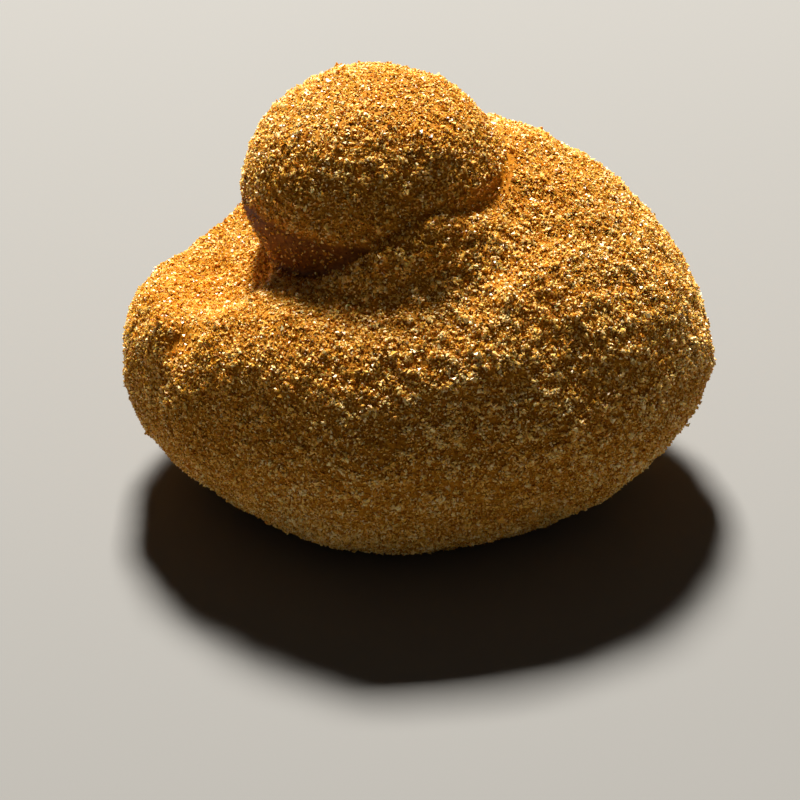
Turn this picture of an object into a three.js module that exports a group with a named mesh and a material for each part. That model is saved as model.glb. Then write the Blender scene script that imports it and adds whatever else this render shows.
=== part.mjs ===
// A crumbed fried bun: a wide round body of dough with a smaller ball of dough
// pressed into its top, a little left of the middle. It is one piece, so it is one solid.
// Sizes are millimetres. X runs left to right, Y front to back, Z up from the flat underside.
//
// The skin is one sheet of points, wound round the ball's upright axis. Its rows start at
// the top of the ball, go down the ball to the crease, out over the body and under it.
import * as THREE from "three";

// ---------- driving sizes: the body ----------
const BODY_HALF_WIDTH = 43.7;
const BODY_HALF_DEPTH = 37.6;
const BODY_RISE = 35; // from its widest line up to the top of the plain round form
const BODY_DROP = 26.6; // from its widest line down to where a full round would end
const WIDEST_LINE_HEIGHT = 20.5; // above the table; the round below it is cut flat there
const UNDERSIDE_TAPER = 0.1; // how far the lower half is drawn in
const UNDERSIDE_TAPER_RIGHT = 0.15; // and how much further on the right
const UNDERSIDE_TAPER_POWER = 1.4; // over 1, so that it starts without a corner

// Share of the body's radius that its shoulder loses in front, which turns a round into a
// slope, and the share that it gains at the left.
const SHOULDER_LOSS_FRONT = 0.155;
const SHOULDER_GAIN_LEFT = 0.053;
const SHOULDER_ANGLE = 57; // degrees above the widest line
const SHOULDER_SPREAD = 35;
const FRONT_DIRECTION = degrees(-90);
const LEFT_DIRECTION = degrees(180);

const HIGH_SIDE_GAIN = 0.2; // the dome behind the ball stands higher
const HIGH_SIDE_DIRECTION = degrees(73);

// ---------- driving sizes: the left lobe ----------
const LOBE_TOP_HEIGHT = 14.8; // its flat top above the widest line, at the crest
const LOBE_CREST_X = -36;
const LOBE_CREST_Y = -17.6;
const LOBE_RISE_INWARD = -0.04; // slope of its top toward the ball, at the crest
const LOBE_SWEEP_INWARD = 0.065; // and how that slope steepens, per millimetre
const LOBE_FALL_BACK = -0.125; // slope of its top toward the back
const LOBE_FACE_SLOPE = 0.54; // slope of the face in front of the crest
const LOBE_EDGE_SOFTNESS = 1.5; // how far its edges are rounded, at the front
const LOBE_BACK_SOFTNESS = 5; // and at the back
const LOBE_BACK_STARTS_Y = -15;
const LOBE_BACK_FULL_Y = 15;
const LOBE_STARTS_X = -8;
const LOBE_FULL_X = -20;

// ---------- driving sizes: the keel, a blunt ridge down the front ----------
const KEEL_REACH = 3;
const KEEL_X = -11;
const KEEL_HALF_WIDTH = 14;

// ---------- driving sizes: the ball on top and the valley round it ----------
const BALL_CENTRE = new THREE.Vector3(-5.9, 2.6, 47.1);
const BALL_HALF_WIDTH = 19.5;
const BALL_HALF_DEPTH = 19.3;
const BALL_HALF_HEIGHT = 16.5;
const NECK_ANGLE = degrees(127); // the ball's skin turns under no further than this
const VALLEY_DEPTH = 10.2; // deepest at the left front
const VALLEY_DEPTH_LEAST = 0.3; // share of it that is left on the far side
const VALLEY_WIDTH = 10.8;
const VALLEY_START = 0.8; // share of the ball's half width, from its axis
const VALLEY_DIRECTION = degrees(216);
const VALLEY_SHARPNESS = 6.5;

// ---------- driving sizes: the ridge of dough pushed up in front of the ball ----------
const RIDGE_HEIGHT = 6.4;
const RIDGE_WIDTH = 4.3;
const RIDGE_REACH = 1.02; // share of the ball's half width, from its axis
const RIDGE_DIRECTION = degrees(289);
const RIDGE_SHARPNESS = 12;

// ---------- driving sizes: relief ----------
const LUMPS = [
  { size: 9, height: 0.6 }, // slow swells of the dough
  { size: 4.4, height: 0.4 }, // clumps of coating
];
const BALL_CALM = 0.5; // share of the lumps that the ball, rolled rounder, doesn't have
const BALL_CALM_FROM = 46; // the calm starts at this height, clear of the crease,
const BALL_CALM_FULL = 50; // and is full at this one
const BASE_FADE_HEIGHT = 4; // relief dies out over this height above the table

// Places on the skin where the coating stands up in a clump or is pressed in.
const CLUMPS = [
  { name: "ridge's left end", at: [-4, -16.5, 49.5], radius: 2.4, height: 0.8 },
  { name: "ridge's right end", at: [1.5, -16.5, 50], radius: 2.4, height: 0.7 },
  { name: "low clump before the ridge", at: [-4.5, -19.5, 46.5], radius: 2.2, height: 0.8 },
  { name: "clump in front of the ball", at: [2.5, -18.5, 46.5], radius: 2.4, height: 0.9 },
  { name: "clump right of it", at: [7.5, -18, 44], radius: 2.6, height: 1.1 },
  { name: "clump further down", at: [12, -21.5, 41.5], radius: 2.4, height: 0.9 },
  { name: "lump on the ball's right", at: [2, -8.5, 59], radius: 3, height: 0.8 },
  { name: "dent in the lobe's crest", at: [-34.5, -17, 32.5], radius: 3, height: -1.4 },
  { name: "swelling left of the dent", at: [-37.5, -13, 31], radius: 3.6, height: 0.8 },
];

// ---------- how finely the sheet is cut ----------
const COLUMNS = 76;
const BALL_ROWS = 20;
const BODY_ROWS = 38;
const BASE_ROWS = 3;
const HALVINGS = 40; // steps of each search by halving

function degrees(angle) {
  return (angle * Math.PI) / 180;
}

/** 0 below low, 1 above high, and an even S between them. */
function smooth(value, low, high) {
  const t = Math.min(Math.max((value - low) / (high - low), 0), 1);
  return t * t * (3 - 2 * t);
}

/** 1 in one direction, falling to 0 in the opposite one; sharp > 1 makes it narrower. */
function toward(angle, direction, sharp = 1) {
  return ((1 + Math.cos(angle - direction)) / 2) ** sharp;
}

/** The lower of two heights, with the corner between them rounded. */
function softLower(a, b, softness) {
  return Math.min(a, b) - softness * Math.log1p(Math.exp(-Math.abs(a - b) / softness));
}

/** How far out a point lies, in ball widths: 1 is straight below the ball's widest line. */
function ballReach(x, y) {
  return Math.hypot((x - BALL_CENTRE.x) / BALL_HALF_WIDTH, (y - BALL_CENTRE.y) / BALL_HALF_DEPTH);
}

/** Height above the widest line that the left lobe allows: a flat top and a steeper face. */
function lobeHeight(x, y) {
  const inward = Math.max(x - LOBE_CREST_X, 0);
  const rise = LOBE_RISE_INWARD * (x - LOBE_CREST_X) + LOBE_SWEEP_INWARD * inward ** 2;
  const crest = LOBE_TOP_HEIGHT + rise;
  const top = crest + LOBE_FALL_BACK * (y - LOBE_CREST_Y);
  const face = crest + LOBE_FACE_SLOPE * (y - LOBE_CREST_Y);
  return softLower(top, face, LOBE_EDGE_SOFTNESS);
}

/** The direction of a point from the ball's axis. */
function ballDirection(x, y) {
  return Math.atan2((y - BALL_CENTRE.y) / BALL_HALF_DEPTH, (x - BALL_CENTRE.x) / BALL_HALF_WIDTH);
}

/** Depth of the valley that the ball has pressed into the body. */
function valleyDepth(x, y) {
  const deep = toward(ballDirection(x, y), VALLEY_DIRECTION, VALLEY_SHARPNESS);
  const share = VALLEY_DEPTH_LEAST + (1 - VALLEY_DEPTH_LEAST) * deep;
  const beyond = Math.max(ballReach(x, y) - VALLEY_START, 0) * BALL_HALF_WIDTH;
  return VALLEY_DEPTH * share * Math.exp(-((beyond / VALLEY_WIDTH) ** 2));
}

/** Height of the ridge of dough that the ball has pushed up in front of itself. */
function ridgeHeight(x, y) {
  const share = toward(ballDirection(x, y), RIDGE_DIRECTION, RIDGE_SHARPNESS);
  const aside = (ballReach(x, y) - RIDGE_REACH) * BALL_HALF_WIDTH;
  return RIDGE_HEIGHT * share * Math.exp(-((aside / RIDGE_WIDTH) ** 2));
}

/** The share of the plain round form's radius that is left at a point of its upper half. */
function shoulder(point) {
  const direction = Math.atan2(point.y / BODY_HALF_DEPTH, point.x / BODY_HALF_WIDTH);
  const reach = Math.hypot(point.x / BODY_HALF_WIDTH, point.y / BODY_HALF_DEPTH);
  const rise = Math.atan2(point.z / BODY_RISE, reach) / degrees(1);
  const front = SHOULDER_LOSS_FRONT * toward(direction, FRONT_DIRECTION);
  const loss = front - SHOULDER_GAIN_LEFT * toward(direction, LEFT_DIRECTION, 2);
  const place = Math.exp(-(((rise - SHOULDER_ANGLE) / SHOULDER_SPREAD) ** 2));
  return 1 - loss * place * (1 - Math.exp(-((rise / 10) ** 2)));
}

/** Raises and lowers a point of the body's upper half: high side, lobe, valley and ridge. */
function topHeight({ x, y, z }) {
  const direction = Math.atan2(y / BODY_HALF_DEPTH, x / BODY_HALF_WIDTH);
  const reach = Math.min(Math.hypot(x / BODY_HALF_WIDTH, y / BODY_HALF_DEPTH), 1);
  const gain = HIGH_SIDE_GAIN * toward(direction, HIGH_SIDE_DIRECTION) * (1 - reach);
  const round = z * (1 + gain);
  const backward = smooth(y, LOBE_BACK_STARTS_Y, LOBE_BACK_FULL_Y);
  const softness = LOBE_EDGE_SOFTNESS + (LOBE_BACK_SOFTNESS - LOBE_EDGE_SOFTNESS) * backward;
  const lobed = softLower(round, lobeHeight(x, y), softness);
  const share = smooth(-x, -LOBE_STARTS_X, -LOBE_FULL_X);
  return Math.max(round + share * (lobed - round), 0) - valleyDepth(x, y) + ridgeHeight(x, y);
}

/** The body's skin, met by a ray from the ball's axis at the height of the widest line. */
function bodyPoint(around, polar) {
  const stretch = Math.hypot(BALL_HALF_WIDTH * Math.cos(around), BALL_HALF_DEPTH * Math.sin(around));
  const ray = new THREE.Vector3(
    (Math.sin(polar) * BALL_HALF_WIDTH * Math.cos(around)) / stretch,
    (Math.sin(polar) * BALL_HALF_DEPTH * Math.sin(around)) / stretch,
    Math.cos(polar),
  );
  const size = new THREE.Vector3(BODY_HALF_WIDTH, BODY_HALF_DEPTH, ray.z > 0 ? BODY_RISE : BODY_DROP);
  const start = new THREE.Vector3(BALL_CENTRE.x, BALL_CENTRE.y, 0).divide(size);
  const step = ray.clone().divide(size);
  const a = step.dot(step);
  const b = start.dot(step);
  const c = start.dot(start) - 1;
  const length = (-b + Math.sqrt(b * b - a * c)) / a;
  const point = start.addScaledVector(step, length).multiply(size);

  if (ray.z > 0) {
    point.multiplyScalar(shoulder(point));
    point.z = topHeight(point);
  }
  const front = Math.min(Math.max(-point.y / BODY_HALF_DEPTH, 0), 1);
  point.y -= KEEL_REACH * Math.exp(-(((point.x - KEEL_X) / KEEL_HALF_WIDTH) ** 2)) * front ** 2;
  const under = Math.max(-point.z / BODY_DROP, 0) ** UNDERSIDE_TAPER_POWER;
  point.x *= 1 - under * (UNDERSIDE_TAPER + (point.x > 0 ? UNDERSIDE_TAPER_RIGHT : 0));
  point.y *= 1 - under * UNDERSIDE_TAPER;
  point.z += WIDEST_LINE_HEIGHT;
  return point;
}

/** The ball's skin at an angle round its axis and an angle down from its top. */
function ballPoint(around, polar) {
  const x = BALL_HALF_WIDTH * Math.sin(polar) * Math.cos(around);
  const y = BALL_HALF_DEPTH * Math.sin(polar) * Math.sin(around);
  const z = BALL_HALF_HEIGHT * Math.cos(polar);
  return new THREE.Vector3(x, y, z).add(BALL_CENTRE);
}

/** Whether a point is inside the ball or the short neck below it. */
function insideBall(point) {
  const reach = ballReach(point.x, point.y);
  const rise = (point.z - BALL_CENTRE.z) / BALL_HALF_HEIGHT;
  return reach ** 2 + rise ** 2 < 1 || reach < Math.sin(NECK_ANGLE);
}

/** The angle between low and high at which a test stops being true. */
function halving(low, high, test) {
  for (let i = 0; i < HALVINGS; i += 1) {
    const middle = (low + high) / 2;
    if (test(middle)) low = middle;
    else high = middle;
  }
  return (low + high) / 2;
}

/** One column of the sheet: down the ball, out over the body, and in under it. */
function column(around) {
  const crease = halving(degrees(2), degrees(88), (polar) => insideBall(bodyPoint(around, polar)));
  const rim = halving(degrees(90), degrees(179), (polar) => bodyPoint(around, polar).z > 0);
  const meeting = bodyPoint(around, crease);
  const rise = (meeting.z - BALL_CENTRE.z) / BALL_HALF_HEIGHT;
  const ballEnd = Math.min(Math.atan2(ballReach(meeting.x, meeting.y), rise), NECK_ANGLE);

  const points = [];
  for (let i = 0; i < BALL_ROWS; i += 1) {
    points.push(ballPoint(around, (ballEnd * i) / (BALL_ROWS - 1)));
  }
  for (let i = 0; i < BODY_ROWS; i += 1) {
    points.push(bodyPoint(around, crease + ((rim - crease) * i) / (BODY_ROWS - 1)));
  }
  const middle = new THREE.Vector3(BALL_CENTRE.x, BALL_CENTRE.y, 0);
  const edge = points[points.length - 1].setZ(0);
  for (let i = 1; i <= BASE_ROWS; i += 1) {
    points.push(edge.clone().lerp(middle, i / BASE_ROWS));
  }
  return points;
}

/** Eases the sharp inner corner where the ball meets the body. */
function easeCrease(columns) {
  for (const points of columns) {
    const before = points.map((point) => point.clone());
    for (let i = BALL_ROWS - 2; i <= BALL_ROWS + 1; i += 1) {
      const between = before[i - 1].clone().lerp(before[i + 1], 0.5);
      points[i].lerp(between, 0.5);
    }
  }
}

/** A repeatable number from 0 to 1 for each corner of a cubic lattice. */
function cornerValue(x, y, z) {
  const wave = Math.sin(x * 12.9898 + y * 78.233 + z * 37.719) * 43758.5453;
  return wave - Math.floor(wave);
}

/** Smooth noise from 0 to 1: the values at the eight corners round a point, blended. */
function noise(x, y, z) {
  const [i, j, k] = [Math.floor(x), Math.floor(y), Math.floor(z)];
  const [u, v, w] = [smooth(x - i, 0, 1), smooth(y - j, 0, 1), smooth(z - k, 0, 1)];
  let sum = 0;
  for (const a of [0, 1]) {
    for (const b of [0, 1]) {
      for (const c of [0, 1]) {
        const share = (a ? u : 1 - u) * (b ? v : 1 - v) * (c ? w : 1 - w);
        sum += share * cornerValue(i + a, j + b, k + c);
      }
    }
  }
  return sum;
}

/** Low lumps of two sizes, up and down about the even form, and lower ones on the ball. */
function lumps(point) {
  let height = 0;
  for (const lump of LUMPS) {
    const [x, y, z] = [point.x / lump.size, point.y / lump.size, point.z / lump.size];
    height += 2 * lump.height * (noise(x, y, z) - 0.5);
  }
  const over = 1 - smooth(ballReach(point.x, point.y), 1, 1.15);
  const onBall = over * smooth(point.z, BALL_CALM_FROM, BALL_CALM_FULL);
  return height * (1 - BALL_CALM * onBall);
}

/** How far the coating stands out at a point: lumps everywhere, and the named clumps. */
function relief(point) {
  let height = lumps(point);
  for (const clump of CLUMPS) {
    const distance = point.distanceTo(new THREE.Vector3(...clump.at));
    height += clump.height * Math.exp(-((distance / clump.radius) ** 2));
  }
  return height * smooth(point.z, 0, BASE_FADE_HEIGHT);
}

/** Moves every point of the sheet out along its own normal by the relief there. */
function addRelief(columns) {
  const before = columns.map((points) => points.map((point) => point.clone()));
  const last = before[0].length - 1;
  columns.forEach((points, c) => {
    const next = before[(c + 1) % columns.length];
    const previous = before[(c + columns.length - 1) % columns.length];
    for (let r = 1; r < last; r += 1) {
      const down = before[c][r + 1].clone().sub(before[c][r - 1]);
      const across = next[r].clone().sub(previous[r]);
      const outward = down.cross(across).normalize();
      points[r].addScaledVector(outward, relief(before[c][r]));
      points[r].z = Math.max(points[r].z, 0);
    }
  });
}

/** Joins the columns into one closed skin, with a single point at each end. */
function closedSkin(columns) {
  const rows = columns[0].length - 2;
  const places = [columns[0][0]];
  for (const points of columns) places.push(...points.slice(1, -1));
  places.push(columns[0][rows + 1]);
  const bottom = places.length - 1;
  const index = (c, r) => 1 + (c % columns.length) * rows + r;
  const corners = [];
  for (let c = 0; c < columns.length; c += 1) {
    corners.push(0, index(c, 0), index(c + 1, 0));
    for (let r = 0; r < rows - 1; r += 1) {
      corners.push(index(c, r), index(c, r + 1), index(c + 1, r + 1));
      corners.push(index(c, r), index(c + 1, r + 1), index(c + 1, r));
    }
    corners.push(bottom, index(c + 1, rows - 1), index(c, rows - 1));
  }
  const geometry = new THREE.BufferGeometry().setFromPoints(places);
  geometry.setIndex(corners);
  return geometry;
}

/** Brings the middle of the plan to X = Y = 0 and leaves the heights alone. */
function centrePlan(geometry) {
  geometry.computeBoundingBox();
  const middle = geometry.boundingBox.getCenter(new THREE.Vector3());
  geometry.translate(-middle.x, -middle.y, 0);
  geometry.computeVertexNormals();
  return geometry;
}

function makeBun() {
  const columns = [];
  for (let c = 0; c < COLUMNS; c += 1) {
    columns.push(column((2 * Math.PI * c) / COLUMNS));
  }
  easeCrease(columns);
  addRelief(columns);
  return centrePlan(closedSkin(columns));
}

// Golden brown crumb, with the dull sheen of a fried coating.
const friedCrumb = new THREE.MeshStandardMaterial({ color: "#c98f45", roughness: 0.62, metalness: 0 });
friedCrumb.name = "fried_crumb";

const bun = new THREE.Mesh(makeBun(), friedCrumb);
bun.name = "bun";

const part = new THREE.Group();
part.name = "crumbed_fried_bun";
part.add(bun);

export default part;
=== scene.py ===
# %% [markdown]
# # A crumbed, fried bun
# We build a deep-fried bun: a wide round body of dough with a smaller ball of dough
# pressed into its top, rolled in breadcrumbs before it was fried. The crumbs are the
# whole look of it, so they are real little solids here, over two hundred thousand of
# them, and the dough under them is one smooth skin. The solid model of the bun comes in
# with the frame below, and everything we make sits in its place and is in metres.

import math

import bpy
import numpy as np
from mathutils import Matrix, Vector


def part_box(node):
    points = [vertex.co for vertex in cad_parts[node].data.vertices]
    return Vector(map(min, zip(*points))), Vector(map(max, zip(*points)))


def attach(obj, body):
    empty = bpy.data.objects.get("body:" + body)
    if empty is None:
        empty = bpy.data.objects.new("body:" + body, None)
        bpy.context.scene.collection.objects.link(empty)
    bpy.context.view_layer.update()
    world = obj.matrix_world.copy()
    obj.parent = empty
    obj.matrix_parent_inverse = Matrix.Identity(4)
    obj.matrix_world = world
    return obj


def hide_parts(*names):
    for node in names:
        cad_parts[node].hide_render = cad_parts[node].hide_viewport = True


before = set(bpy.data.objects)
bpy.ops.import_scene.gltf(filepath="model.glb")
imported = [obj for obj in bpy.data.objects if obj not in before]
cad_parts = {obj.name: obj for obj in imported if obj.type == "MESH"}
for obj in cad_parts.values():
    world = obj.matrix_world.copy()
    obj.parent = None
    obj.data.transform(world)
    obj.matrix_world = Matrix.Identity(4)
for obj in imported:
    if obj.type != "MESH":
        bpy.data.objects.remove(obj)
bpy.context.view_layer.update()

# %% [markdown]
# ## Two small tools
# Colours are written the way a paint program shows them, as six hexadecimal digits.
# A renderer adds light up, so it needs them linear, and one function turns them.
# A second function adds a shader node with its settings and its links, so that each
# material below can be read from top to bottom.

# %% Colours and nodes
MM = 0.001


def linear(hex_colour):
    """sRGB hex to linear RGBA: ((c + 0.055) / 1.055) ** 2.4, or c / 12.92 near black."""
    channels = [int(hex_colour[i:i + 2], 16) / 255 for i in (1, 3, 5)]
    turned = [c / 12.92 if c < 0.04045 else ((c + 0.055) / 1.055) ** 2.4 for c in channels]
    return (*turned, 1)


def add_node(tree, kind, settings=(), values=(), links=(), stops=()):
    """Adds a node with its settings, its sockets' values and its links (socket, source).

    The stops of a colour ramp are pairs of a position and a hex colour.
    """
    made = tree.nodes.new(kind)
    for name, value in dict(settings).items():
        setattr(made, name, value)
    for name, value in dict(values).items():
        made.inputs[name].default_value = value
    for name, source in dict(links).items():
        tree.links.new(source, made.inputs[name])
    while stops and len(made.color_ramp.elements) < len(stops):
        made.color_ramp.elements.new(0.5)
    for number, (position, colour) in enumerate(stops):
        made.color_ramp.elements[number].position = position
        made.color_ramp.elements[number].color = linear(colour)
    return made


def new_material(name):
    """An empty node material, and its nodes."""
    material = bpy.data.materials.new(name)
    material.use_nodes = True
    material.node_tree.nodes.clear()
    return material, material.node_tree


print("a mid grey in linear light:", round(linear("#808080")[0], 3))

# %% [markdown]
# ## The camera
# The bun is looked down on by 31 degrees through a long lens, from about half a metre,
# so that its sides barely converge. The middle of the body is a little right of the
# picture's middle and above it; the camera stands aside and lower by as much, and
# isn't turned.

# %% Camera
CAMERA_PITCH = math.radians(31)
CAMERA_DISTANCE = 494 * MM
CAMERA_LENS, SENSOR_WIDTH = 150, 36  # mm
CAMERA_AIM = np.array([-0.31, 1, 20.5]) * MM  # the middle of the body at its widest line
AIM_RIGHT, AIM_UP = 17 / 800, 50 / 800  # where it shows, in widths from the middle

forward = np.array([0, math.cos(CAMERA_PITCH), -math.sin(CAMERA_PITCH)])
upward = np.array([0, math.sin(CAMERA_PITCH), math.cos(CAMERA_PITCH)])
picture_width = CAMERA_DISTANCE * SENSOR_WIDTH / CAMERA_LENS
camera_place = (CAMERA_AIM - CAMERA_DISTANCE * forward
                - picture_width * (AIM_RIGHT * np.array([1, 0, 0]) + AIM_UP * upward))
camera_data = bpy.data.cameras.new("camera")
camera_data.lens = CAMERA_LENS
camera_data.sensor_width = SENSOR_WIDTH
camera = bpy.data.objects.new("camera", camera_data)
camera.location = camera_place
camera.rotation_euler = (math.pi / 2 - CAMERA_PITCH, 0, 0)
bpy.context.scene.collection.objects.link(camera)
bpy.context.scene.camera = camera
print("camera at, m:", camera_place.round(3))

# %% [markdown]
# ## Soft ramps
# Risen dough has no hard corners: each form runs into the next. So every form below is
# blended in by one of three small functions: a ramp between 0 and 1, a liking for one
# direction, and a rounded choice of the lower of two heights.

# %% Soft ramps
def smooth(value, low, high):
    """0 below low, 1 above high, and t * t * (3 - 2t) between."""
    t = np.clip((value - low) / (high - low), 0, 1)
    return t * t * (3 - 2 * t)


def toward(angle, direction, sharp=1):
    """((1 + cos of the turn) / 2) ** sharp: 1 in one direction, 0 in the opposite one."""
    return ((1 + np.cos(angle - direction)) / 2) ** sharp


def soft_lower(a, b, softness):
    """The lower of two heights less s * log(1 + exp(-gap / s)), which rounds the corner."""
    return np.minimum(a, b) - softness * np.log1p(np.exp(-np.abs(a - b) / softness))


print("a quarter of the way up a ramp:", smooth(0.25, 0, 1).round(3))

# %% [markdown]
# ## The round body
# The dough has settled into a round that is widest low down and is cut flat where it
# stands. It could be sculpted by hand. As a formula with named sizes, each size can be
# changed alone and the form comes out the same at any fineness. Two ellipsoid halves
# meet at the widest line, and the shoulder above it is pulled in at the front. These
# are the bun's real sizes in millimetres, and x runs right, y back and z up.

# %% Body and shoulder
FRONT, LEFT, RIGHT = math.radians(-90), math.radians(180), 0

BODY_HALF_WIDTH = 43.7
BODY_HALF_DEPTH = 37.6
BODY_RISE = 35
BODY_DROP = 26.6
WIDEST_LINE_HEIGHT = 20.5

# Shares of the radius, and degrees up from the widest line.
SHOULDER_LOSS_FRONT, SHOULDER_GAIN_LEFT = 0.155, 0.053
SHOULDER_ANGLE, SHOULDER_SPREAD, SHOULDER_FADE = 57, 35, 10


def body_reach(x, y):
    """Hypotenuse of x and y, each in body half sizes: 1 is at its widest line."""
    return np.hypot(x / BODY_HALF_WIDTH, y / BODY_HALF_DEPTH)


def body_direction(x, y):
    """Arctangent of y over x, each in body half sizes: 0 is right, a quarter turn back."""
    return np.arctan2(y / BODY_HALF_DEPTH, x / BODY_HALF_WIDTH)


def shoulder(x, y, z):
    """Share of the radius left: 1 - loss(direction) * exp(-((rise - angle) / spread) ** 2).

    The loss is largest at the front, less than nothing at the left, and fades out at the
    widest line.
    """
    direction = body_direction(x, y)
    rise = np.degrees(np.arctan2(z / BODY_RISE, body_reach(x, y)))
    loss = (SHOULDER_LOSS_FRONT * toward(direction, FRONT)
            - SHOULDER_GAIN_LEFT * toward(direction, LEFT, 2))
    place = np.exp(-((rise - SHOULDER_ANGLE) / SHOULDER_SPREAD) ** 2)
    return 1 - loss * place * (1 - np.exp(-(rise / SHOULDER_FADE) ** 2))


print("radius left halfway up the front:", shoulder(0, -27, 24).round(3))

# %% [markdown]
# ## The left lobe
# At the left the dough is a lower step with a nearly flat top and a steep face before
# it. It could be a second blob joined to the first. Two sloping surfaces that meet at a
# crest are simpler, and the lower of the two, with its corner rounded, is the lobe.

# %% Left lobe
# Heights are over the widest line, slopes are rise over run, the sweep is per mm.
LOBE_TOP_HEIGHT = 14.8
LOBE_CREST_X, LOBE_CREST_Y = -36, -17.6
LOBE_RISE_INWARD, LOBE_SWEEP_INWARD = -0.04, 0.065
LOBE_FALL_BACK, LOBE_FACE_SLOPE = -0.125, 0.54
LOBE_EDGE_SOFTNESS = 1.5


def lobe_height(x, y):
    """The lower of two slopes, each crest height + slope * distance back from the crest.

    The crest's own height is level + rise * inward + sweep * inward ** 2.
    """
    inward, backward = x - LOBE_CREST_X, y - LOBE_CREST_Y
    crest = (LOBE_TOP_HEIGHT + LOBE_RISE_INWARD * inward
             + LOBE_SWEEP_INWARD * np.maximum(inward, 0) ** 2)
    return soft_lower(crest + LOBE_FALL_BACK * backward, crest + LOBE_FACE_SLOPE * backward,
                      LOBE_EDGE_SOFTNESS)


print("lobe's height at its crest, mm:", lobe_height(LOBE_CREST_X, LOBE_CREST_Y).round(1))

# %% [markdown]
# ## The ball and its valley
# The smaller ball is an ellipsoid, set a little left of the middle. It has pressed a
# valley into the body, deepest at its left and front, and has pushed up a ridge of dough
# before it. Both are only a change of the body's height by the distance from the ball,
# so they need no mesh of their own and always follow the ball.

# %% Ball, valley and ridge
BALL = np.array([-5.9, 2.6, 47.1])
BALL_HALF_WIDTH, BALL_HALF_DEPTH, BALL_HALF_HEIGHT = 19.5, 19.3, 16.5

# The start and the reach are in ball half widths from its axis.
VALLEY_DEPTH, VALLEY_LEAST_SHARE, VALLEY_WIDTH, VALLEY_START = 10.2, 0.3, 10.8, 0.8
VALLEY, VALLEY_SHARPNESS = math.radians(216), 6.5
RIDGE_HEIGHT, RIDGE_WIDTH, RIDGE_REACH = 6.4, 4.3, 1.02
RIDGE, RIDGE_SHARPNESS = math.radians(289), 12


def ball_reach(x, y):
    """Hypotenuse of x and y from the ball's axis, in its half sizes: 1 is its widest."""
    return np.hypot((x - BALL[0]) / BALL_HALF_WIDTH, (y - BALL[1]) / BALL_HALF_DEPTH)


def ball_direction(x, y):
    """Arctangent of y over x from the ball's axis, each in its half sizes: 0 is right."""
    return np.arctan2((y - BALL[1]) / BALL_HALF_DEPTH, (x - BALL[0]) / BALL_HALF_WIDTH)


def valley_depth(x, y):
    """share(direction) * exp(-(distance / width) ** 2) round the ball, less the ridge."""
    direction, reach = ball_direction(x, y), ball_reach(x, y)
    share = (VALLEY_LEAST_SHARE
             + (1 - VALLEY_LEAST_SHARE) * toward(direction, VALLEY, VALLEY_SHARPNESS))
    beyond = np.maximum(reach - VALLEY_START, 0) * BALL_HALF_WIDTH
    aside = (reach - RIDGE_REACH) * BALL_HALF_WIDTH
    ridge = (RIDGE_HEIGHT * toward(direction, RIDGE, RIDGE_SHARPNESS)
             * np.exp(-(aside / RIDGE_WIDTH) ** 2))
    return VALLEY_DEPTH * share * np.exp(-(beyond / VALLEY_WIDTH) ** 2) - ridge


print("valley's depth left of the ball, mm:", valley_depth(-27, -9).round(1))

# %% [markdown]
# ## The top of the body
# The body stands higher behind than in front. So the round height is first raised
# toward the back, then cut down to the lobe at the left, and the valley comes last.
# The lobe's corner with the body is rounder at the back than at the front.

# %% Top of the body
HIGH_SIDE_GAIN, HIGH_SIDE = 0.2, math.radians(73)
LOBE_BACK_SOFTNESS = 5
LOBE_BACK_STARTS_Y, LOBE_BACK_FULL_Y = -15, 15
LOBE_STARTS_X, LOBE_FULL_X = -8, -20


def top_height(x, y, z):
    """z * (1 + gain(direction) * (1 - reach)), cut down to the lobe, less the valley."""
    inner = 1 - np.minimum(body_reach(x, y), 1)
    round_height = z * (1 + HIGH_SIDE_GAIN * toward(body_direction(x, y), HIGH_SIDE) * inner)
    backward = smooth(y, LOBE_BACK_STARTS_Y, LOBE_BACK_FULL_Y)
    softness = LOBE_EDGE_SOFTNESS + (LOBE_BACK_SOFTNESS - LOBE_EDGE_SOFTNESS) * backward
    lobed = soft_lower(round_height, lobe_height(x, y), softness)
    share = smooth(-x, -LOBE_STARTS_X, -LOBE_FULL_X)
    return np.maximum(round_height + share * (lobed - round_height), 0) - valley_depth(x, y)


print("dome's height at the right, mm over the widest line:", top_height(22, 8, 28).round(1))

# %% [markdown]
# ## Rays that meet the dough
# The body is met by rays. From a point on the ball's upright axis a ray goes out at an
# angle around and an angle down from straight up. Where it leaves the plain round form
# is one end of a quadratic, and the formulas above then move that point. So do the blunt
# keel down the front and the taper below the widest line. Whole arrays of angles go in
# and whole arrays of points come out, which is much quicker than point by point.

# %% Points of the body and the ball
KEEL_REACH, KEEL_X, KEEL_HALF_WIDTH = 3, -11, 14
UNDERSIDE_TAPER, UNDERSIDE_TAPER_RIGHT, UNDERSIDE_TAPER_POWER = 0.1, 0.15, 1.4
NECK_ANGLE = math.radians(127)


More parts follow.
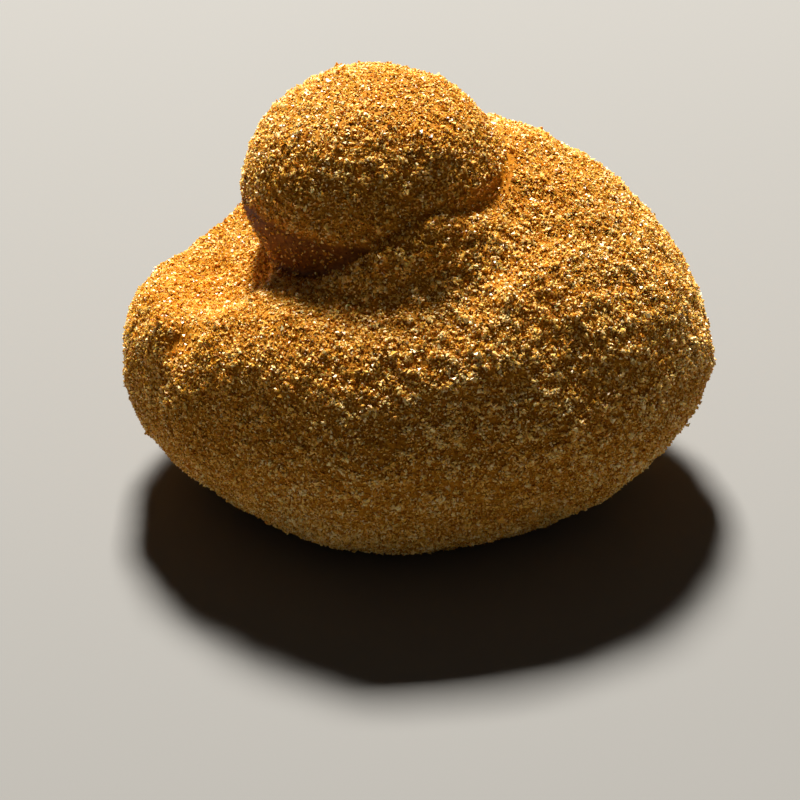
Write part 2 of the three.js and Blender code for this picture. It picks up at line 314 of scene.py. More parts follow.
def body_point(around, polar):
    """The body's skin on a ray, at the larger root of a * t ** 2 + 2 * b * t + c = 0.

    That is where start + t * ray leaves the ellipsoid. The shoulder then scales the
    point, the top sets its height, the keel moves it forward by reach * exp(-((x - keel)
    / half width) ** 2) * front ** 2, and the taper narrows what is under the widest line.
    """
    around, polar = np.broadcast_arrays(around, polar)
    across, back = BALL_HALF_WIDTH * np.cos(around), BALL_HALF_DEPTH * np.sin(around)
    flat = np.sin(polar) / np.hypot(across, back)
    ray = np.stack([flat * across, flat * back, np.cos(polar)], axis=-1)
    upper = ray[..., 2] > 0
    size = np.stack([np.full(upper.shape, BODY_HALF_WIDTH), np.full(upper.shape, BODY_HALF_DEPTH),
                     np.where(upper, BODY_RISE, BODY_DROP)], axis=-1)
    start = np.array([BALL[0], BALL[1], 0]) / size
    step = ray / size
    a, b, c = (step * step).sum(-1), (start * step).sum(-1), (start * start).sum(-1) - 1
    length = (-b + np.sqrt(b * b - a * c)) / a
    x, y, z = np.moveaxis((start + length[..., None] * step) * size, -1, 0)
    kept = np.where(upper, shoulder(x, y, z), 1)
    x, y, z = x * kept, y * kept, z * kept
    z = np.where(upper, top_height(x, y, z), z)
    front = np.clip(-y / BODY_HALF_DEPTH, 0, 1)
    y = y - KEEL_REACH * np.exp(-((x - KEEL_X) / KEEL_HALF_WIDTH) ** 2) * front ** 2
    under = np.maximum(-z / BODY_DROP, 0) ** UNDERSIDE_TAPER_POWER
    x = x * (1 - under * (UNDERSIDE_TAPER + UNDERSIDE_TAPER_RIGHT * (x > 0)))
    y = y * (1 - under * UNDERSIDE_TAPER)
    return np.stack([x, y, z + WIDEST_LINE_HEIGHT], axis=-1)


def ball_point(around, polar):
    """The ball's skin: sin(polar) * cos(around), sin(polar) * sin(around), cos(polar)."""
    x = BALL_HALF_WIDTH * np.sin(polar) * np.cos(around)
    y = BALL_HALF_DEPTH * np.sin(polar) * np.sin(around)
    return np.stack([x, y, BALL_HALF_HEIGHT * np.cos(polar)], axis=-1) + BALL


def inside_ball(point):
    """True inside the ball, or inside the upright neck of dough that runs through it."""
    reach = ball_reach(point[..., 0], point[..., 1])
    rise = (point[..., 2] - BALL[2]) / BALL_HALF_HEIGHT
    return (reach ** 2 + rise ** 2 < 1) | (reach < math.sin(NECK_ANGLE))


print("body's front, mm:", body_point(FRONT, math.radians(90)).round(1))

# %% [markdown]
# ## Lumps and clumps
# A hand-rolled bun is never quite smooth. Low lumps move each point of the skin along
# its normal. They are noise from a repeatable number at each corner of a lattice, not a
# texture, so the same lumps come out at any fineness and on every machine. The clumps
# of coating and the dent are single soft bumps at their own places.

# %% Noise and relief
HASH_WEIGHTS, HASH_SCALE = np.array([12.9898, 78.233, 37.719]), 43758.5453
LUMPS = ((9, 0.6), (4.4, 0.4))  # length and height of each size of lump
BALL_CALM = 0.5  # share of the lumps that the ball, rolled rounder, doesn't have
BALL_EDGE, BALL_FOOT = (1, 1.15), (46, 50)  # reach and height where the calm fades out
BASE_FADE_HEIGHT = 4
DENT = (-34.5, -17, 32.5)
CLUMPS = (  # place, radius and height
    ((-4, -16.5, 49.5), 2.4, 0.8),
    ((1.5, -16.5, 50), 2.4, 0.7),
    ((-4.5, -19.5, 46.5), 2.2, 0.8),
    ((2.5, -18.5, 46.5), 2.4, 0.9),
    ((7.5, -18, 44), 2.6, 1.1),
    ((12, -21.5, 41.5), 2.4, 0.9),
    ((2, -8.5, 59), 3.0, 0.8),
    (DENT, 3.0, -1.4),
    ((-37.5, -13, 31), 3.6, 0.8),
)


def lattice_noise(point, size, seed=0):
    """Values at a lattice's eight corners round each point, blended by S curves, 0 to 1."""
    cell = np.floor(point / size)
    part = point / size - cell
    part = part * part * (3 - 2 * part)
    total = 0
    for corner in np.ndindex(2, 2, 2):
        share = np.where(corner, part, 1 - part).prod(-1)
        wave = np.sin((cell + corner) @ HASH_WEIGHTS + seed) * HASH_SCALE
        total = total + share * (wave - np.floor(wave))
    return total


def relief(point):
    """2 * height * (noise - 0.5) a size of lump, height * exp(-(distance / radius) ** 2) a clump.

    The lumps are lower on the ball, and all of it dies out just above the floor.
    """
    height = sum(2 * high * (lattice_noise(point, size) - 0.5) for size, high in LUMPS)
    on_ball = ((1 - smooth(ball_reach(point[..., 0], point[..., 1]), *BALL_EDGE))
               * smooth(point[..., 2], *BALL_FOOT))
    height = height * (1 - BALL_CALM * on_ball)
    for place, radius, high in CLUMPS:
        height = height + high * np.exp(-((point - place) ** 2).sum(-1) / radius ** 2)
    return height * smooth(point[..., 2], 0, BASE_FADE_HEIGHT)


print("relief in the dent, mm:", relief(np.array(DENT)).round(2))

# %% [markdown]
# ## One sheet of points
# Ball and body could be joined with a Boolean modifier, but that leaves uneven triangles
# along the crease. Here the skin is one sheet, wound round the ball's axis like a
# bandage: rows go down the ball to the crease, out over the body, and in under it to the
# middle of the flat underside. Two angles are searched for in every column: where the
# body comes out of the ball, and where its rim meets the floor.

# %% Searches and normals
HALVINGS = 40


def halving(search, test, columns):
    """For every column, the angle in the search where a test stops being true."""
    low, high = np.full(columns, search[0]), np.full(columns, search[1])
    for _ in range(HALVINGS):
        middle = (low + high) / 2
        true = test(middle)
        low, high = np.where(true, middle, low), np.where(true, high, middle)
    return (low + high) / 2


def outward_normals(sheet):
    """Cross product of the steps down and across the sheet, made unit length."""
    down = np.gradient(sheet, axis=0)
    across = np.roll(sheet, -1, axis=1) - np.roll(sheet, 1, axis=1)
    normal = np.cross(down, across)
    normal[0], normal[-1] = (0, 0, 1), (0, 0, -1)
    return normal / np.linalg.norm(normal, axis=-1, keepdims=True)


print("a search for half, from 0 to 1:", halving((0, 1), lambda value: value < 0.5, 1))

# %% [markdown]
# ## The finished sheet
# The inner corner at the crease is rounded by easing its rows toward their neighbours,
# as dough would do. A coarse sheet, cut as the solid model is, tells how far the form
# has to be shifted to lie in the middle of the frame.

# %% Rows and columns of the sheet
CREASE_SEARCH = math.radians(2), math.radians(88)
RIM_SEARCH = math.radians(90), math.radians(179)
EASED_SHARE, EASED_LEAST = 0.1, 2  # of the ball's rows, and rows, each side of the crease


def make_sheet(columns, ball_rows, body_rows, base_rows, easings):
    """Rows by columns of points, mm; easings is how often the crease's rows are eased."""
    around = np.linspace(0, 2 * math.pi, columns, endpoint=False)
    crease = halving(CREASE_SEARCH,
                     lambda polar: inside_ball(body_point(around, polar)), columns)
    rim = halving(RIM_SEARCH,
                  lambda polar: body_point(around, polar)[..., 2] > 0, columns)
    meeting = body_point(around, crease)
    rise = (meeting[:, 2] - BALL[2]) / BALL_HALF_HEIGHT
    ball_end = np.minimum(np.arctan2(ball_reach(meeting[:, 0], meeting[:, 1]), rise), NECK_ANGLE)
    ball = ball_point(around, ball_end * np.linspace(0, 1, ball_rows)[:, None])
    body = body_point(around, crease + (rim - crease) * np.linspace(0, 1, body_rows)[:, None])
    body[-1, :, 2] = 0
    middle = np.array([BALL[0], BALL[1], 0])
    inward = (np.arange(1, base_rows + 1) / base_rows)[:, None, None]
    sheet = np.concatenate([ball, body, body[-1] + (middle - body[-1]) * inward])
    reach = max(EASED_LEAST, round(EASED_SHARE * ball_rows))
    rows = np.arange(len(sheet))
    eased = 0.5 * (np.abs(rows - ball_rows + 0.5) < reach)[1:-1, None, None]
    for _ in range(easings):
        between = (sheet[:-2] + sheet[2:]) / 2
        sheet[1:-1] += eased * (between - sheet[1:-1])
    raised = sheet + outward_normals(sheet) * relief(sheet)[..., None]
    raised[0], raised[-1] = sheet[0], sheet[-1]
    raised[..., 2] = np.maximum(raised[..., 2], 0)
    return raised


coarse = make_sheet(columns=76, ball_rows=20, body_rows=38, base_rows=3, easings=1)
low, high = coarse.reshape(-1, 3).min(0), coarse.reshape(-1, 3).max(0)
to_frame = np.array([(low[0] + high[0]) / 2, (low[1] + high[1]) / 2, 0])
cad_low, cad_high = np.array(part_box("bun"))
print("coarse sheet's size, mm:", (high - low).round(2),
      "solid's:", ((cad_high - cad_low) / MM).round(2), "shift:", to_frame.round(2))

# %% [markdown]
# ## Where the coating is thin
# Crumbs don't reach everywhere. The crease at the ball's right, the ball's underside and
# the pressed dent keep bare, smoother dough. A number up to 1 for each place says how
# much of the coating stuck there. It could be painted by hand on the mesh, but worked
# out from the place it serves the skin's colour and the scattering of crumbs alike.

# %% Coverage of the coating
COVER_LOSS, COVER_LEAST = 0.94, 0.06
CREASE_REACH, CREASE_WIDTH = 0.98, 0.09  # ball half widths
CREASE_SHARPNESS = 5
CREASE_TOP, CREASE_FADE = 7, 3  # mm over the ball's middle, and mm below that
NECK_COVER_LOSS = 0.9
NECK_TOP, NECK_FADE = 1, 2  # mm over the ball's middle, and mm below that
NECK_EDGE = (1.05, 1.2)  # squared distance from the ball's middle, 1 on its skin
DENT_BARE = np.array([3.2, 2.2, 2.2])  # mm, how far the dent's bare dough reaches each way


def neck_share(point):
    """A ramp of squared distance from the ball's middle times a ramp of height.

    It is 1 on the ball's skin below its widest line, as far as the crease, else 0. It thins the
    coating there and places the painted shade under the ball.
    """
    x, y, z = np.moveaxis(point, -1, 0)
    from_ball = ball_reach(x, y) ** 2 + ((z - BALL[2]) / BALL_HALF_HEIGHT) ** 2
    return (1 - smooth(from_ball, *NECK_EDGE)) * smooth(BALL[2] + NECK_TOP - z, 0, NECK_FADE)


def coverage(point):
    """1 - loss * the barest of crease, neck and dent, with a least value.

    The crease is toward(right) * exp(-((reach - crease reach) / width) ** 2), and the
    dent exp(-(distance / radius) ** 2), with a radius for each axis.
    """
    x, y, z = np.moveaxis(point, -1, 0)
    near = (np.exp(-((ball_reach(x, y) - CREASE_REACH) / CREASE_WIDTH) ** 2)
            * smooth(BALL[2] + CREASE_TOP - z, 0, CREASE_FADE))
    right_crease = toward(ball_direction(x, y), RIGHT, CREASE_SHARPNESS) * near
    dent = np.exp(-(((point - DENT) / DENT_BARE) ** 2).sum(-1))
    barest = np.maximum.reduce([right_crease, NECK_COVER_LOSS * neck_share(point), dent])
    return np.clip(1 - COVER_LOSS * barest, COVER_LEAST, 1)


print("coverage at the crease's right:", coverage(np.array([11.0, -4.0, 52.0])).round(2))

# %% [markdown]
# ## Small heaps of coating
# Crumbs stick on crumbs, so the coating lies in little heaps with pits between. They are
# higher on the front and right slopes, where it is loose. Noise a little over a
# millimetre across says where a heap is, and the skin under the crumbs follows it.

# %% Heaps and pits
LOOSE_SIDE, LOOSE_SHARPNESS = math.radians(-55), 2
LOOSE_FOOT, LOOSE_TOP = (14, 24), (46, 54)  # mm over the floor
LOOSE_REACH = (0.8, 1.1)  # ball half widths
PILE_LENGTH, PILE_SEED, PILE_EDGES = 1.2, 7, (0.25, 0.75)


def looseness(point):
    """toward(right front) times ramps of height and of reach from the ball: 1 where loose."""
    x, y, z = np.moveaxis(point, -1, 0)
    around = toward(body_direction(x, y), LOOSE_SIDE, LOOSE_SHARPNESS)
    return (around * smooth(z, *LOOSE_FOOT) * (1 - smooth(z, *LOOSE_TOP))
            * smooth(ball_reach(x, y), *LOOSE_REACH))


def pile(point):
    """0 in a pit to 1 on a heap: noise a little over a millimetre across, steepened."""
    return smooth(lattice_noise(point, PILE_LENGTH, PILE_SEED), *PILE_EDGES)


print("looseness on the right slope:", looseness(np.array([20.0, -20.0, 36.0])).round(2))

# %% [markdown]
# ## Meshes from arrays
# A mesh of a hundred thousand corners is quick when its arrays are handed over whole,
# and slow when its faces are added one by one. The sheet's two ends close on one point
# each, so the skin has no holes.

# %% Meshes from arrays
def mesh_object(name, places, faces, material, shade_smooth, attributes=()):
    """An object at the origin from corner places in mm, and triangles."""
    mesh = bpy.data.meshes.new(name)
    mesh.vertices.add(len(places))
    mesh.vertices.foreach_set("co", ((places - to_frame) * MM).astype(np.float32).ravel())
    mesh.loops.add(faces.size)
    mesh.loops.foreach_set("vertex_index", faces.astype(np.int32).ravel())
    mesh.polygons.add(len(faces))
    mesh.polygons.foreach_set("loop_start", np.arange(0, faces.size, 3, dtype=np.int32))
    mesh.polygons.foreach_set("use_smooth", np.full(len(faces), shade_smooth))
    mesh.update(calc_edges=True)
    for label, values in dict(attributes).items():
        layer = mesh.attributes.new(label, "FLOAT", "POINT")
        layer.data.foreach_set("value", values.astype(np.float32))
    mesh.materials.append(material)
    piece = bpy.data.objects.new(name, mesh)
    bpy.context.scene.collection.objects.link(piece)
    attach(piece, "root")
    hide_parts("bun")
    return piece


def sheet_triangles(rows, columns):
    """Corner numbers of the closed sheet: a fan at each end, two triangles a cell between."""
    ring = np.arange(columns)
    after = (ring + 1) % columns
    row = np.arange(rows - 3)[:, None] * columns + 1
    a, b = row + ring, row + columns + ring
    c, d = row + columns + after, row + after
    cells = np.stack([a, b, c, a, c, d], axis=-1).reshape(-1, 3)
    last = 1 + (rows - 2) * columns
    top = np.stack([0 * ring, 1 + ring, 1 + after], axis=-1)
    under = last - columns
    bottom = np.stack([0 * ring + last, under + after, under + ring], axis=-1)
    return np.concatenate([top, cells, bottom])


def sheet_corners(values):
    """The sheet's values in the order of its corners, one for each end."""
    inner = values[1:-1].reshape(-1, *values.shape[2:])
    return np.concatenate([values[:1, 0], inner, values[-1:, 0]])


print("triangles on a sheet of 4 by 6 points:", len(sheet_triangles(4, 6)))

# %% [markdown]
# ## The skin's places
# The finished skin has about twenty times the solid model's triangles, so no facet
# shows between the crumbs. It lies a little lower than the solid's skin, because the
# crumbs on it are what make up the coating's thickness.

# %% Places of the skin
PILE_HEIGHT, PILE_HEIGHT_LOOSE = 0.15, 0.26  # mm
SKIN_BELOW = 0.3  # mm; the dough lies this far under the coating's mean height
SINK_FADE_HEIGHT = 1  # mm; below this the skin comes back out, down to the floor

sheet = make_sheet(columns=440, ball_rows=66, body_rows=138, base_rows=12, easings=11)
skin_normals = sheet_corners(outward_normals(sheet))
skin_places = sheet_corners(sheet)
skin_coverage = coverage(skin_places)
heap_height = PILE_HEIGHT + (PILE_HEIGHT_LOOSE - PILE_HEIGHT) * looseness(skin_places)
heaps = heap_height * (pile(skin_places) - 0.5) * skin_coverage
above_floor = smooth(skin_places[:, 2], 0, SINK_FADE_HEIGHT)
skin_places = skin_places + skin_normals * ((heaps - SKIN_BELOW) * above_floor)[:, None]
skin_faces = sheet_triangles(*sheet.shape[:2])
print("skin:", len(skin_places), "corners,", len(skin_faces), "triangles")

# %% [markdown]
# ## Fried dough between the crumbs
# Between the grains lies the egg wash and the finest dust of the coating, fried to a
# deep orange brown. It is darker than the crumbs on it, which is what makes each grain
# stand out. Where the coating is thin it is smoother: orange in the crease and the dent,
# and under the ball painted dark brown, a painted shade for the ball's shadow there.
# Real dust is finer than the render can show, so it is drawn coarser, in flecks of
# 0.7 mm. The dough is porous and dry outside, so it is rough and has little shine, and
# a little light passes through it.

# %% Skin material
DUST_PER_MM = 1.4  # flecks along a millimetre
UNDER_CRUMBS = [(0.3, "#7e480a"), (0.5, "#b07016"), (0.72, "#d69832")]
BARE_ORANGE = [(0.3, "#a05806"), (0.6, "#c67a10")]
# painted shade: the bare dough under the ball is drawn dark brown to stand for the ball's shadow
# on it
PAINTED_SHADE_UNDER_BALL = [(0.3, "#3c1806"), (0.6, "#6a3410")]
BARE_ROUGHNESS, COATED_ROUGHNESS = 0.5, 0.75


def dough_material():
    """Fried dough: mottled brown under the crumbs, smoother where it is bare, and painted dark as
    shade under the ball.
    """
    material, tree = new_material("fried_dough")
    place = add_node(tree, "ShaderNodeTexCoord").outputs["Object"]
    cover = add_node(tree, "ShaderNodeAttribute", {"attribute_name": "coverage"}).outputs["Fac"]
    neck = add_node(tree, "ShaderNodeAttribute", {"attribute_name": "neck"}).outputs["Fac"]
    dust = add_node(tree, "ShaderNodeTexNoise",
                    values={"Scale": DUST_PER_MM / MM, "Detail": 4, "Roughness": 0.7},
                    links={"Vector": place}).outputs["Fac"]
    under, orange, shade_under_ball = [
        add_node(tree, "ShaderNodeValToRGB", links={"Fac": dust}, stops=stops).outputs["Color"]
        for stops in (UNDER_CRUMBS, BARE_ORANGE, PAINTED_SHADE_UNDER_BALL)]
    # the neck attribute mixes in the painted shade under the ball
    bare = add_node(tree, "ShaderNodeMix", {"data_type": "RGBA"},
                    links={"Factor": neck, "A": orange, "B": shade_under_ball}).outputs["Result"]
    colour = add_node(tree, "ShaderNodeMix", {"data_type": "RGBA"},
                      links={"Factor": cover, "A": bare, "B": under}).outputs["Result"]
    rough = add_node(tree, "ShaderNodeMapRange",
                     values={"To Min": BARE_ROUGHNESS, "To Max": COATED_ROUGHNESS},
                     links={"Value": cover}).outputs["Result"]
    bump = add_node(tree, "ShaderNodeBump", values={"Strength": 0.6, "Distance": 0.25 * MM},
                    links={"Height": dust}).outputs["Normal"]
    surface = add_node(
        tree, "ShaderNodeBsdfPrincipled",
        values={"Subsurface Weight": 0.1, "Subsurface Radius": (1.0, 0.4, 0.12),
                "Subsurface Scale": 0.8 * MM, "Specular IOR Level": 0.06},
        links={"Base Color": colour, "Roughness": rough, "Normal": bump})
    add_node(tree, "ShaderNodeOutputMaterial", links={"Surface": surface.outputs["BSDF"]})
    return material


# the neck attribute says where the skin carries the painted shade under the ball
skin = mesh_object("dough_skin", skin_places, skin_faces, dough_material(), True,
                   {"coverage": skin_coverage, "neck": neck_share(skin_places)})
print("skin made:", skin.name)

# %% [markdown]
# ## Crumbs
# A breadcrumb is a broken bit of dried bread: it has rough broken faces and sharp
# corners, and no two are alike. The coating is mostly fine ones, about half a millimetre
# across. They could be copies scattered by a particle system or by geometry nodes. Here
# all crumbs of a kind are one mesh from one set of arrays, so each has its own shape. We
# start from a plain closed shape of a few faces, push each of its corners about at
# random, stretch it, turn it, and sink it part of the way into the skin.

# %% Crumb shapes
SEED = 29
draw = np.random.default_rng(SEED)

FOUR_FACED = (
    np.array([(1, 1, 1), (1, -1, -1), (-1, 1, -1), (-1, -1, 1)]) / math.sqrt(3),
    np.array([(0, 1, 2), (0, 3, 1), (0, 2, 3), (1, 3, 2)]),
)
EIGHT_FACED = (
    np.array([(1, 0, 0), (-1, 0, 0), (0, 1, 0), (0, -1, 0), (0, 0, 1), (0, 0, -1)], float),
    np.array([(0, 2, 4), (2, 1, 4), (1, 3, 4), (3, 0, 4),
              (2, 0, 5), (1, 2, 5), (3, 1, 5), (0, 3, 5)]),
)


def random_turns(count):
    """Rotation matrices of random unit quaternions: 1 - 2 (yy + zz), 2 (xy - wz) and so on."""
    quaternion = draw.normal(size=(4, count))
    w, x, y, z = quaternion / np.linalg.norm(quaternion, axis=0)
    return np.stack([1 - 2 * (y * y + z * z), 2 * (x * y - w * z), 2 * (x * z + w * y),
                     2 * (x * y + w * z), 1 - 2 * (x * x + z * z), 2 * (y * z - w * x),
                     2 * (x * z - w * y), 2 * (y * z + w * x), 1 - 2 * (x * x + y * y)],
                    axis=-1).reshape(count, 3, 3)


print("faces of the two plain shapes:", len(FOUR_FACED[1]), "and", len(EIGHT_FACED[1]))

# %% [markdown]
# ## What a crumb is made of
# Dried bread fried in oil lets some light in, so a crumb glows where the lamp is behind
# it. The paler ones have smoother broken faces, which flash. Each crumb has its own
# tone, a number from 0 for the deepest colour of its kind to 1 for the palest. Its pores
# are drawn 0.2 mm apart, about as fine as the render can show.

# %% Crumb materials
PORES_PER_MM = 5  # pores along a millimetre
MOTTLING = 0.2  # how far the pores shift the tone within one crumb
GOLD = [(0.0, "#d08c1c"), (0.35, "#eeae40"), (0.65, "#fac866"), (1.0, "#fee2a2")]
AMBER = [(0.0, "#b67214"), (0.4, "#e09a2e"), (0.75, "#f0b24e"), (1.0, "#f8ca78")]
TOASTED = [(0.0, "#8a500a"), (0.4, "#c27e1e"), (0.75, "#de9e38"), (1.0, "#ecb456")]


def crumb_material(name, stops, roughness, gloss):
    """Fried crumb: colour by each crumb's own tone, a little light passing through."""
    material, tree = new_material(name)
    place = add_node(tree, "ShaderNodeTexCoord").outputs["Object"]
    own = add_node(tree, "ShaderNodeAttribute", {"attribute_name": "tone"}).outputs["Fac"]
    pores = add_node(tree, "ShaderNodeTexNoise",
                     values={"Scale": PORES_PER_MM / MM, "Detail": 2, "Roughness": 0.6},
                     links={"Vector": place}).outputs["Fac"]
    mottled = add_node(tree, "ShaderNodeMapRange",
                       values={"To Min": -MOTTLING, "To Max": MOTTLING},
                       links={"Value": pores}).outputs["Result"]
    tone = add_node(tree, "ShaderNodeMath", {"operation": "ADD"},
                    links={0: own, 1: mottled}).outputs["Value"]
    colour = add_node(tree, "ShaderNodeValToRGB", links={"Fac": tone}, stops=stops)
    bump = add_node(tree, "ShaderNodeBump", values={"Strength": 0.5, "Distance": 0.06 * MM},
                    links={"Height": pores}).outputs["Normal"]
    surface = add_node(
        tree, "ShaderNodeBsdfPrincipled",
        values={"Roughness": roughness, "Specular IOR Level": gloss, "Subsurface Weight": 0.2,
                "Subsurface Radius": (1.0, 0.45, 0.1), "Subsurface Scale": 0.5 * MM},
        links={"Base Color": colour.outputs["Color"], "Normal": bump})
    add_node(tree, "ShaderNodeOutputMaterial", links={"Surface": surface.outputs["BSDF"]})
    return material


golden = crumb_material("golden_crumb", GOLD, 0.32, 0.3)
amber = crumb_material("amber_crumb", AMBER, 0.4, 0.14)
toasted = crumb_material("toasted_crumb", TOASTED, 0.5, 0.06)
print("crumb materials:", golden.name, amber.name, toasted.name)

# %% [markdown]
# ## Scattering
# A crumb lands anywhere on the skin with a chance by area, times how thickly that place
# is coated. So the chance is worked out for each triangle first, one of them is drawn,
# and then a place inside it.

# %% Random places on the skin
corner_places = skin_places[skin_faces]
face_areas = np.linalg.norm(np.cross(corner_places[:, 1] - corner_places[:, 0],
                                     corner_places[:, 2] - corner_places[:, 0]), axis=1) / 2
face_cover = skin_coverage[skin_faces].mean(1)
face_middles = corner_places.mean(1)


def scatter(count, weights):
    """Random places on the skin with their normals, by area times weight."""
    chance = face_areas * weights
    chosen = draw.choice(len(skin_faces), count, p=chance / chance.sum())
    a, b = np.sqrt(draw.random(count)), draw.random(count)
    shares = np.stack([1 - a, a * (1 - b), a * b], axis=-1)[..., None]
    place = (corner_places[chosen] * shares).sum(1)
    normal = (skin_normals[skin_faces[chosen]] * shares).sum(1)
    return place, normal / np.linalg.norm(normal, axis=1, keepdims=True)


print("skin's area, square mm:", round(float(face_areas.sum())))

# %% [markdown]
# ## One kind of crumb
# The skin already follows the coating's heaps, and a small random lift keeps the crumbs
# on it from lying level. Sizes, shapes, turns and tones are random too, and the tones
# also drift slowly over the bun, as frying never browns evenly. On the left lobe all
# crumbs are a little deeper in tone: partly their own deeper gold, partly painted shade
# that dims the lobe's flat top, which faces the lamp.

# %% Crumbs in one mesh
LIFT_SPREAD = 0.06  # mm
HEAP_RADIUS, HEAP_LIFT = 0.34, 0.35  # mm
SIZE_SPREAD = 0.25
CORNER_SHIFT, CORNER_SHIFT_MOST = 0.24, 0.45
STRETCH_LEAST, STRETCH_MOST = 0.7, 1.3
# the left lobe's loss of tone is partly the crumbs' deeper gold, partly painted shade on the
# lobe's lit top
TONE_SPREAD, TONE_DRIFT, LEFT_TONE_AND_SHADE_LOSS = 0.26, 0.5, 0.18
DRIFTS = ((0.6, 16, 3), (0.4, 6, 5))  # share, length in mm and seed of each slow noise
LEFT_LOBE_X, LEFT_LOBE_HEIGHT = (8, 30), (40, 46)


def on_left_lobe(point):
    """A ramp to the left times a ramp down: 1 on the left lobe, 0 past it and above it."""
    return (smooth(-point[:, 0], *LEFT_LOBE_X)
            * (1 - smooth(point[:, 2], *LEFT_LOBE_HEIGHT)))


def crumbs(name, shape, count, material, weights, size, lift, tone, rounded=False, heap=1):
    """One kind of crumb: size is its radius and lift its height over the skin, in mm.

    Each is as large as size * exp(normal noise). The heap is how many lie together
    round each scattered place, lifted there by height * exp(-(distance / radius) ** 2),
    and the count is a multiple of it.
    """
    template, faces = shape
    place, normal = scatter(count // heap, weights)
    place, normal = np.repeat(place, heap, axis=0), np.repeat(normal, heap, axis=0)
    lift = lift + draw.normal(scale=LIFT_SPREAD, size=count)
    if heap > 1:
        aside = draw.normal(scale=HEAP_RADIUS, size=(count, 3))
        place = place + aside - normal * (aside * normal).sum(1, keepdims=True)
        lift = lift + HEAP_LIFT * np.exp(-(aside ** 2).sum(1) / HEAP_RADIUS ** 2)
    scale = size * np.exp(draw.normal(scale=SIZE_SPREAD, size=count))
    shifts = draw.normal(scale=CORNER_SHIFT, size=(count, *template.shape))
    corners = template + shifts.clip(-CORNER_SHIFT_MOST, CORNER_SHIFT_MOST)
    stretch = scale[:, None] * draw.uniform(STRETCH_LEAST, STRETCH_MOST, (count, 3))
    turned = np.einsum("nij,nkj->nki", random_turns(count), corners * stretch[:, None, :])
    turned += (place + normal * lift[:, None])[:, None, :]
    turned[..., 2] = np.maximum(turned[..., 2], 0)
    drift = sum(share * lattice_noise(place, length, seed) for share, length, seed in DRIFTS)
    # lowering the tone on the left lobe is partly painted shade
    tones = (tone + draw.normal(scale=TONE_SPREAD, size=count)
             + TONE_DRIFT * (drift - 0.5) - LEFT_TONE_AND_SHADE_LOSS * on_left_lobe(place))
    numbers = faces[None] + (np.arange(count) * len(template))[:, None, None]
    mesh_object(name, turned.reshape(-1, 3), numbers.reshape(-1, 3), material, rounded,
                {"tone": np.repeat(tones.clip(0, 1), len(template))})
    print(name, "-", count, "crumbs,", count * len(faces), "triangles")


print("left lobe's share at its crest:", on_left_lobe(np.array([[-36.0, -17.6, 33.0]])))

# %% [markdown]
# ## Five kinds of crumb
# The left lobe holds more golden crumbs and fewer amber and toasted ones. Only the amber
# ones are shaded smooth, as if their corners were soaked in oil. The others keep sharp
# faces, which flash one by one. The last kind falls eight at a time, as small heaps of
# its own, mostly where the coating is loose.

# %% Five kinds of crumb
GOLD_GAIN_LEFT, AMBER_LOSS_LEFT = 0.8, 0.6
HEAPED_LEAST, HEAPED_ON_PILES, HEAPED_WHERE_LOOSE = 0.35, 0.5, 2
FOUR_FACED_COUNT, EIGHT_FACED_COUNT = 49900, 24896  # each under 200,000 triangles

left = on_left_lobe(face_middles)
more_gold = face_cover * (1 + GOLD_GAIN_LEFT * left)
more_amber = face_cover * (1 - AMBER_LOSS_LEFT * left)
on_piles = HEAPED_ON_PILES + HEAPED_WHERE_LOOSE * looseness(face_middles)
heaped = face_cover ** 2 * (HEAPED_LEAST + pile(face_middles) * on_piles)
crumbs("crumbs_pale", FOUR_FACED, FOUR_FACED_COUNT, golden, more_gold,
       size=0.22, lift=0.1, tone=0.66)
crumbs("crumbs_gold", FOUR_FACED, FOUR_FACED_COUNT, golden, more_gold,
       size=0.225, lift=0.04, tone=0.47)
crumbs("crumbs_amber", FOUR_FACED, FOUR_FACED_COUNT, amber, more_amber,
       size=0.225, lift=0.02, tone=0.58, rounded=True)
crumbs("crumbs_toasted", FOUR_FACED, FOUR_FACED_COUNT, toasted, more_amber,
       size=0.25, lift=-0.05, tone=0.42)
crumbs("crumbs_heaped", EIGHT_FACED, EIGHT_FACED_COUNT, golden, heaped,
       size=0.23, lift=0.1, tone=0.62, heap=8)

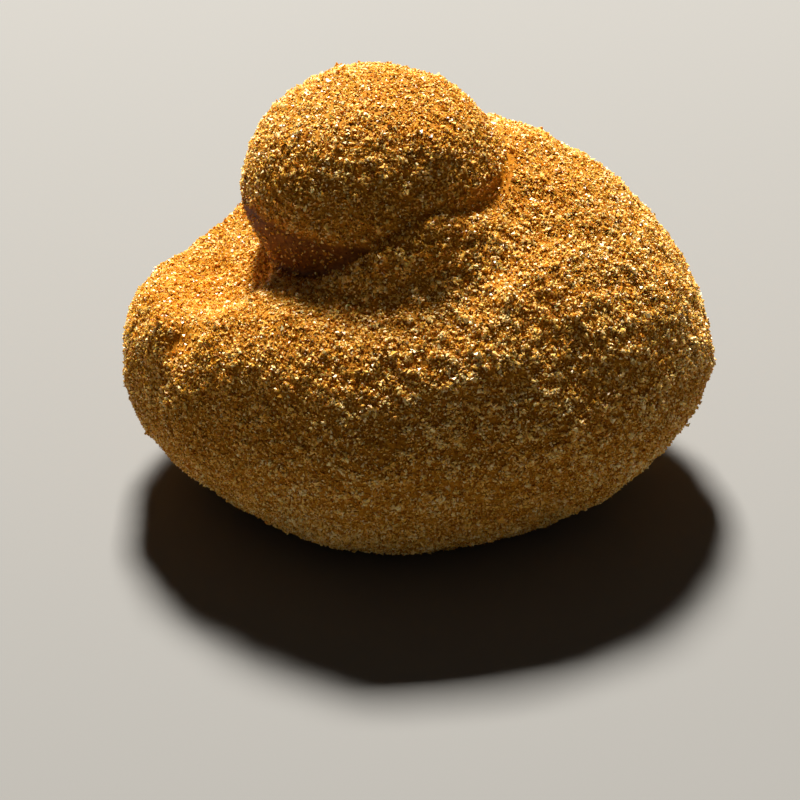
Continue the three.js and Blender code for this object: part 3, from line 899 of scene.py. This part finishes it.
# %% [markdown]
# ## Floor and light
# The bun stands on a plain pale floor. A strong lamp, 0.3 m wide, high behind it and a
# little to the left, skims over the crumbs toward us, which lights their tops and leaves
# their fronts in shade. A weak wide lamp in front and a faint sky open the shadows.

# %% Floor, lamps and sky
FLOOR_HALF = 3.0
AIM = (0, 0, 0.03)
SKY_STRENGTH = 0.045


def area_lamp(name, place, aim, size, watts, colour):
    """A square lamp that faces the aim."""
    data = bpy.data.lights.new(name, "AREA")
    data.size = size
    data.energy = watts
    data.color = linear(colour)[:3]
    lamp = bpy.data.objects.new(name, data)
    lamp.location = place
    lamp.rotation_euler = (Vector(aim) - Vector(place)).to_track_quat("-Z", "Y").to_euler()
    bpy.context.scene.collection.objects.link(lamp)


floor_mesh = bpy.data.meshes.new("floor")
floor_mesh.from_pydata([(-FLOOR_HALF, -FLOOR_HALF, 0), (FLOOR_HALF, -FLOOR_HALF, 0),
                        (FLOOR_HALF, FLOOR_HALF, 0), (-FLOOR_HALF, FLOOR_HALF, 0)],
                       [], [(0, 1, 2, 3)])
floor = bpy.data.objects.new("floor", floor_mesh)
bpy.context.scene.collection.objects.link(floor)
floor_material, floor_tree = new_material("pale_floor")
floor_surface = add_node(floor_tree, "ShaderNodeBsdfPrincipled",
                         values={"Base Color": linear("#7f7c76"), "Roughness": 0.9,
                                 "Specular IOR Level": 0.2})
add_node(floor_tree, "ShaderNodeOutputMaterial",
         links={"Surface": floor_surface.outputs["BSDF"]})
floor_mesh.materials.append(floor_material)

area_lamp("back_lamp", (-0.1, 0.86, 1.2), AIM, 0.3, 72, "#ffffff")
area_lamp("front_lamp", (0.4, -1.2, 0.9), AIM, 1.0, 0.2, "#ffe2c0")
world = bpy.data.worlds.new("studio")
world.use_nodes = True
sky = world.node_tree.nodes["Background"]
sky.inputs["Color"].default_value = linear("#f3ebde")
sky.inputs["Strength"].default_value = SKY_STRENGTH
bpy.context.scene.world = world
bpy.context.scene.view_settings.view_transform = "Standard"
print("floor", 2 * FLOOR_HALF, "m wide, two lamps and a sky of strength", SKY_STRENGTH)
